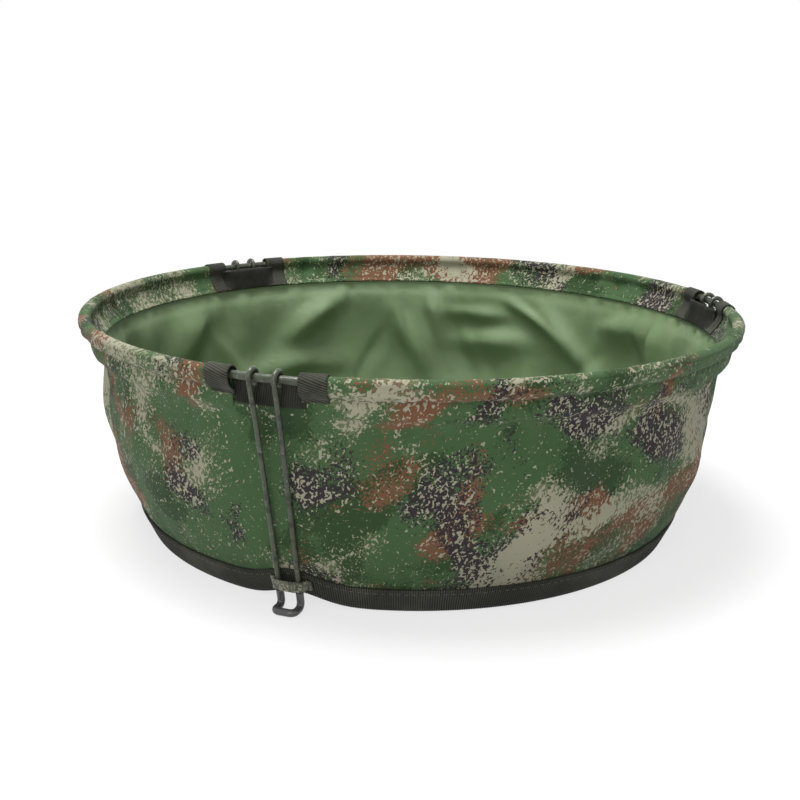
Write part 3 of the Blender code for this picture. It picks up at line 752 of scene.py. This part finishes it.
# The liner: coated satin cloth, cut larger than the wall. It hangs inside it from under the hem in
# broad soft folds, and its floor lies on the ground cloth, sewn into the same base seam.
liner_thickness = 0.0005
liner_step = 0.00085
liner_slack = 0.0008
liner_creases = 0.0004
liner_press = 0.001
liner_hold = (0.017, 0.013, 0.014)
liner_top_places = ((1.0, 0.0031), (0.85, 0.0022))
twill_pitch = 0.0006
liner_folds = (
    (134, 77, -36, 27, 7, 7, 7.5), (137, 46, 4, 22, 6, 9, 4.5), (170, 72, -45, 26, 8, 12, 6.5),
    (189, 70, 92, 22, 3, 3, -2.0), (112, 78, 80, 20, 3, 4, -3.0), (105, 76, 76, 18, 4, 5, 5.0),
    (94, 76, 2, 17, 5, 4, 4.5), (90, 60, -3, 23, 8, 7, 7.5), (86, 42, 3, 19, 9, 9, -1.6),
    (82, 80, 27, 20, 4, 2.4, 6.0), (70, 64, 42, 32, 7, 6, 5.5), (53, 86, -23, 20, 14, 5, 9.0),
    (51, 66, 88, 18, 6, 5, -2.0), (43.5, 76, 88, 28, 3, 14, 6.5),
    (24, 76, 95, 20, 5, 5, -1.6), (110, 56, 60, 26, 6, 9, 4.5), (150, 42, -12, 30, 7, 8, 4.5),
    (200, 56, 105, 28, 5, 10, 5.0), (222, 62, 60, 26, 5, 10, 5.5), (238, 76, 82, 18, 4, 6, 3.5),
    (252, 45, -30, 26, 6, 10, 5.0), (272, 68, 62, 24, 6, 8, 4.5), (288, 58, 78, 30, 5, 10, 6.0),
    (305, 74, -48, 22, 5, 8, 4.5), (313, 44, 30, 28, 6, 9, 5.0), (336, 64, 100, 28, 5, 10, 6.0),
    (352, 74, -60, 20, 4, 8, 4.0), (8, 52, -40, 26, 6, 11, 5.0), (64, 38, 20, 24, 6, 8, 3.5),
)
liner_light = (0.132, 0.190, 0.096)
liner_deep = (0.102, 0.155, 0.070)


def liner_fold(angle, height):
    """Slack of the liner, which hangs inwards in soft folds between the seams. Where it would be
    negative, it eases to 0: half the sum of the slack and the root of its square and a little."""
    fine = liner_creases * crumple(angle, height, 41, (6, 40), 150)
    loose = liner_slack + fine + ridges(liner_folds, angle, height)
    return loosened(height, *liner_hold) * (loose + np.hypot(loose, liner_press)) / 2


# Coated green satin: a soft sheen, faint clouds of tone, and the weave's fine lines
place, flat = dyed("liner_satin")
cloud = place.noise(26, 3, 0.6)
twill = (flat.axis(0) + flat.axis(1)).waves(twill_pitch)
colour = cloud.span(0.3, 0.7).blend(liner_deep, liner_light)
wrinkle = place.noise(120, 3, 0.55)
liner_satin = finished("liner_satin", colour, cloud.span(0.3, 0.7, 0.40, 0.50), twill * 0.06 + wrinkle, 0.0005,
                       Specular_IOR_Level=0.25, Sheen_Weight=0.04)
liner_line, liner_length = wall_points(liner_step, liner_top_places, 60)
liner_turns = np.linspace(0, full_turn, 541)[None, :]
radius, height = base_shift(liner_turns, liner_line[:, :1], liner_line[:, 1:])
fold = wall_fold(liner_turns, liner_line[:, 1:]) - liner_fold(liner_turns, liner_line[:, 1:])
points = spun(liner_turns, radius + fold, height)
mesh = surface("liner_cloth", (points, laid_out(liner_turns, liner_length[:, None])))
liner = fitted(mesh, liner_satin, "rim", ["liner_wall"], liner_thickness)

# The floors: a heavier coated ground cloth, and the liner's own floor on top of it. Both run flat,
# rise to the base seam and turn down inside it.
floor_step = 0.00085
floor_rise = 0.0100
floor_sags = ((0.40, 0.22), (0.74, 0.86))
floor_wrinkle = 0.0005
wrinkle_from = 0.03
wrinkle_to = 0.122
wrinkle_fade = 0.02
coarse_pitch = 0.0009
base_tape_thickness = 0.0009
binding_proud = wall_cloth / 2 + fit_gap + base_tape_thickness / 2
first_up, first_out = wall_shares[0]
flange_across = (seam_radius - base_radius) * first_up + wall_bulge * first_out
flange_slope = flange_across / (seam_height * first_up - wall_bottom)
ground_colour = (0.050, 0.075, 0.040)
ground_pale = (0.070, 0.098, 0.056)


def flange_point(height, depth):
    """A place on the base seam, a given depth inside the outer wall."""
    return (base_radius + flange_slope * (height - wall_bottom) - depth * math.hypot(1, flange_slope), height)


def floor_sheet(name, lift, wrinkle, seed):
    """A round sheet: a square grid pressed into a disc (each side shortened by the other's square),
    whose distance from the middle runs along the section: flat, up to the seam, and turned down."""
    depth = liner_step + liner_thickness + fit_gap + floor_step
    top = flange_point(floor_rise, depth)
    rest = wall_cloth / 2
    path = [(radius, rest) for radius in (0, 0.04, 0.07, floor_flat_radius)]
    path += [(floor_flat_radius + (top[0] - floor_flat_radius) * across, rest + (floor_rise - rest) * up)
             for across, up in floor_sags]
    path += [(top[0] - 2 * floor_step, floor_rise),
             flange_point(floor_rise - 2 * floor_step, depth + fit_gap),
             flange_point(wall_bottom, depth)]
    line, length = eased(path, 400)
    line[:, 1] = np.maximum(line[:, 1], rest)
    line -= sides(line) * lift
    side = np.linspace(-1, 1, 171)
    u, v = np.meshgrid(side, side)
    x, y = u * np.sqrt(1 - v * v / 2), v * np.sqrt(1 - u * u / 2)
    angle, reach = np.arctan2(y, x), np.minimum(np.hypot(x, y), 1) * length[-1]
    radius, height = (np.interp(reach, length, line[:, k]) for k in (0, 1))
    rumple = wrinkle * np.maximum(1 + crumple(angle, radius * 40, seed, (1, 7), 3), 0)
    rumple = rumple * eased_step(radius / wrinkle_from) * eased_step((wrinkle_to - radius) / wrinkle_fade)
    return surface(name, (spun(angle, *base_shift(angle, radius, height + rumple)),
                          joined(reach * np.cos(angle), reach * np.sin(angle))))


# Dark green coated cloth: dull, with a coarse weave under the coating and pale scuffs
place, flat = dyed("ground_cloth")
weave = flat.axis(0).waves(coarse_pitch) * flat.axis(1).waves(coarse_pitch)
scuff = (place.noise(35, 4, 0.65) + place.noise(500, 2) * 0.3).span(0.68, 0.86)
coated_cloth = finished("ground_cloth", scuff.blend(ground_colour, ground_pale), scuff.span(0, 1, 0.55, 0.72),
                        weave, 0.00006, Specular_IOR_Level=0.4)
mesh = floor_sheet("liner_floor_cloth", floor_step, floor_wrinkle, 5)
liner_floor = fitted(mesh, liner_satin, "base", ["liner_floor"], liner_thickness)
mesh = floor_sheet("ground_cloth", 0.0, 0.0, 6)
ground_cloth = fitted(mesh, coated_cloth, "base", ["floor_panel"], wall_cloth)

# The base tape: 25 mm ribbed webbing folded over the raw edges of the base seam and stitched
# through near its top edge.
base_shade = 1.0
webbing_ribs = 840
webbing_depth = 0.00008
inner_height = 0.0064
outer_middle_height = 0.007
base_stitch_drop = 0.0022
inner_depth = (liner_step + liner_thickness + floor_step + wall_cloth / 2 + 3 * fit_gap
               + base_tape_thickness / 2)
low = base_tape_thickness / 2 + webbing_depth
corner = base_tape_thickness
base_path = [flange_point(inner_height, inner_depth), flange_point(low + corner, inner_depth),
             (flange_point(low, inner_depth)[0] + corner / 2, low),
             (flange_point(low, -binding_proud)[0] - corner / 2, low)]
base_path += [flange_point(height, -binding_proud)
              for height in (low + corner, outer_middle_height, binding_height)]
base_line, base_length = eased(base_path, 11)
base_line[:, 1] = np.maximum(base_line[:, 1], low)
turns = np.linspace(0, full_turn, webbing_ribs * 4 + 1)[None, :]
radius, height = base_shift(turns, *moved(base_line, webbing_depth * np.cos(webbing_ribs * turns)))
mesh = surface("base_tape", (spun(turns, radius, height), joined(turns * base_radius, base_length[:, None])))
base_tape = fitted(mesh, ribbed_tape("base_webbing", base_shade), "base", ["base_binding"],
                   base_tape_thickness)
turns = np.linspace(0, full_turn, round(full_turn * base_radius / stitch_pitch))[:-1]
stitch_height = binding_height - base_stitch_drop
face = flange_point(stitch_height, -binding_proud - base_tape_thickness / 2)[0]
radius, height = base_shift(turns, face + webbing_depth / 2, np.full(len(turns), stitch_height))
outwards = spun(turns, 1.0, -flange_slope)
base_seam = stitches("base_stitches", spun(turns, radius, height), outwards, "base")

# The legs: each is one length of 2.3 mm painted wire, bent into a U. Both ends hook over the rim
# wire, and the closed end turns outwards as a foot.
leg_wire_radius = 0.00115
leg_step = 0.0006
eye_spacing = 0.0110
eye_sweep = math.radians(266)
eye_steps = 40
foot_spacing = 0.0092
knee_height = ring_height - 0.0191
knee_radius = ring_radius - 0.0019
ankle_radius = 0.1408
foot_reach = 0.0075
foot_bend_radius = 0.0024
foot_gap = 0.0002
foot_wall = 0.00035
foot_height = leg_wire_radius + foot_gap + foot_wall
leg_slope = (knee_radius - ankle_radius) / (knee_height - foot_height)


def tube(path, radius, count):
    """A round tube along a path. The ring's first direction is square to the run: level where the
    wire lies in the foot, and sideways, along X, everywhere else."""
    run = unit(np.gradient(path, axis=0))
    lying = np.abs(path[:, 2] - (foot_height - ring_height)) < 1e-5
    half = np.where(np.arange(len(path)) < len(path) / 2, 1.0, -1.0)[:, None]
    first = np.where(lying[:, None], np.cross((0, 0, 1), run), half * np.array([1.0, 0, 0]))
    first = unit(first - run * (first * run).sum(axis=1)[:, None])
    second = np.cross(run, first)
    ring = np.linspace(0, full_turn, count + 1)[None, :, None]
    points = path[:, None] + radius * (first[:, None] * np.cos(ring) + second[:, None] * np.sin(ring))
    return points, joined(length_along(path)[:, None], ring[:, :, 0] * radius)


def even_path(corners, radius, spacing):
    """A path whose corners are rounded with arcs of a radius, in points of even spacing."""
    path = [corners[0]]
    for before, corner, after in zip(corners, corners[1:], corners[2:]):
        back, ahead = unit(before - corner), unit(after - corner)
        half = math.acos(np.clip(back @ ahead, -1, 1)) / 2
        if half > math.pi / 2 - 1e-3 or not radius:
            path.append(corner)
            continue
        centre = corner + unit(back + ahead) * radius / math.sin(half)
        sweep = math.pi - 2 * half
        turn = np.linspace(0, sweep, 13)[:, None]
        start, end = (corner + way * radius / math.tan(half) - centre for way in (back, ahead))
        path += list(centre + (start * np.sin(sweep - turn) + end * np.sin(turn)) / math.sin(sweep))
    path = np.array(path + [corners[-1]])
    return evened(path, round(length_along(path)[-1] / spacing))[0]


def wire_place(side, radius, height):
    """Beside the leg's middle, seen from its hinge: across, inwards and up."""
    share = (height - foot_height) / (ring_height - foot_height)
    spacing = foot_spacing + (eye_spacing - foot_spacing) * share
    return np.array([side * spacing / 2, ring_radius - radius, height - ring_height])


def leg_line(height):
    """Distance of the leg's straight run from the middle of the bowl."""
    return ankle_radius + leg_slope * (height - foot_height)


def foot_corners(height):
    """The wire's corners from one side of the foot, out and across, to the other."""
    tip = ankle_radius + foot_reach
    near = [(leg_line(height), height), (ankle_radius, foot_height), (tip, foot_height)]
    return [wire_place(-1, *place) for place in near] + [wire_place(1, *place) for place in near[::-1]]


def eye(side):
    """The hook over the rim wire, from its tip to where it runs into the leg at a tangent."""
    hook = rim_wire_radius + fit_gap + leg_wire_radius
    inward, down = ring_radius - knee_radius, ring_height - knee_height
    start = math.atan2(down, inward) - math.asin(hook / math.hypot(inward, down)) - math.pi / 2
    turn = start + eye_sweep * np.linspace(1, 0, eye_steps)
    return joined(side * eye_spacing / 2, -hook * np.cos(turn), hook * np.sin(turn))


def hinged(points, angle):
    """Points of a leg from its hinge's own axes (across, inwards, up) to the bowl's."""
    across, inwards, up = np.moveaxis(points, -1, 0)
    out, cosine, sine = ring_radius - inwards, math.cos(angle), math.sin(angle)
    return joined(out * cosine - across * sine, out * sine + across * cosine, up + ring_height)


def capped(points, uv):
    """Close a tube's ends by drawing each last ring in twice: to a rounded edge and to its middle."""
    rows = [0, 0, *range(len(points)), -1, -1]
    drawn = np.array([0.999, 0.5, *[0] * len(points), 0.5, 0.999])[:, None, None]
    points = points[rows]
    return points + (points.mean(axis=1, keepdims=True) - points) * drawn, uv[rows]


def at_each_leg(name, points, uv, finish, body, node, thickness=None):
    """The same piece at each leg. The leg's number goes into the names of its body and its node."""
    return [fitted(surface(f"{name}_{number}", (hinged(points, angle), uv)), finish, body.format(number),
                   [node.format(number)], thickness) for number, angle in legs.items()]


upper = even_path([*eye(-1), foot_corners(knee_height)[0]], 0, leg_step)
lower = even_path(foot_corners(knee_height), foot_bend_radius, leg_step)
leg_path = np.concatenate([upper, lower[1:-1], upper[::-1] * np.array([-1, 1, 1])])
leg_points, leg_uv = capped(*tube(leg_path, leg_wire_radius, 16))
at_each_leg("leg_wire", leg_points, leg_uv, wire_paint("leg_wire_paint"), "leg_{}", "leg_{}")

# The foot tubes: black vinyl tube pushed over the foot of each leg, a little glossy and scuffed
# where it stands.
foot_tube_height = 0.0092
vinyl_colour = (0.010, 0.010, 0.010)
vinyl_scuff = (0.028, 0.027, 0.026)
tube_path = even_path(foot_corners(foot_tube_height), foot_bend_radius, 0.0005)
tube_points, tube_uv = tube(tube_path, leg_wire_radius + foot_gap + foot_wall / 2, 20)
place, = dyed("foot_vinyl", ["Object"])
scuffs = place.noise(700, 3, 0.6).span(0.55, 0.68)
vinyl = finished("foot_vinyl", scuffs.blend(vinyl_colour, vinyl_scuff), scuffs.span(0, 1, 0.30, 0.55),
                 place.noise(900, 2), 0.00003, Specular_IOR_Level=0.5)
at_each_leg("foot_tube", tube_points, tube_uv, vinyl, "leg_{}", "foot_sleeve_{}", foot_wall)

# The foot straps: a short strip of speckled webbing round both wires of each leg, with its tails
# sewn flat to the base tape.
strap_height = 0.0047
strap_thickness = 0.0008
strap_half = 0.0136 / 2
strap_tail = 0.0026
strap_twill_pitch = 0.0011
strap_twill_depth = 0.00006
strap_colour = (0.085, 0.090, 0.060)
strap_pale = (0.230, 0.225, 0.165)
strap_dark = (0.035, 0.040, 0.024)
strap_middle = foot_tube_height + 2 * fit_gap + strap_height / 2
strap_face = leg_line(strap_middle) + leg_wire_radius + fit_gap + strap_thickness / 2
strap_seat = flange_point(strap_middle - lobe_lift, -binding_proud)[0] + lobe_reach
strap_seat += (base_tape_thickness / 2 + fit_gap + strap_thickness) * math.hypot(1, flange_slope)
bend = (strap_face - strap_seat) / 3
# Half of the strap seen from above: across, out from the bowl's middle, and how it leans
strap_path = [
    (strap_half + strap_tail, strap_seat - fit_gap, flange_slope),
    (strap_half + bend / 2, strap_seat, flange_slope), (strap_half, strap_seat + bend, leg_slope),
    (strap_half, strap_face - bend / 2, leg_slope), (strap_half - bend / 2, strap_face, leg_slope),
    (strap_half / 3, strap_face + 0.0001, leg_slope)]
strap_line, strap_length = eased(strap_path + [(-x, out, slope) for x, out, slope in strap_path[::-1]], 120)
across, out, slope = strap_line.T
rise = np.linspace(-strap_height / 2, strap_height / 2, 30)[:, None]
twill = strap_twill_depth * np.cos(full_turn * (strap_length + rise) / strap_twill_pitch)
strap_points = joined(across, ring_radius - out - slope * rise - twill, strap_middle + rise - ring_height)
strap_uv = joined(strap_length, rise)
place, = dyed("strap_webbing", ["Object"])
speck = place.noise(900, 2, 0.6)
patch = place.noise(260, 2, 0.6)
colour = speck.span(0.52, 0.60).blend(patch.span(0.45, 0.60).blend(strap_colour, strap_dark), strap_pale)
strap_finish = finished("strap_webbing", colour, speck.span(0.3, 0.7, 0.75, 0.88), speck, 0.00008,
                        Sheen_Weight=0.2)
foot_straps = at_each_leg("foot_strap", strap_points[::-1], strap_uv[::-1], strap_finish, "base",
                          "foot_loop_{}", strap_thickness)

# The base lift: the wall, the liner and each piece sewn to the base get a mesh of their own.
lift = 0.08
wall_top, liner_top = (float(line[:, 1].max()) for line in (wall_line, liner_line))
lifted = [(piece, 0, wall_top) for piece in (liner_floor, ground_cloth, base_tape, base_seam, *foot_straps)]
for piece, anchor, top in [(outer_wall, wall_top, wall_top), (liner, liner_top, liner_top), *lifted]:
    1 - lift / top
    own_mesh(piece)
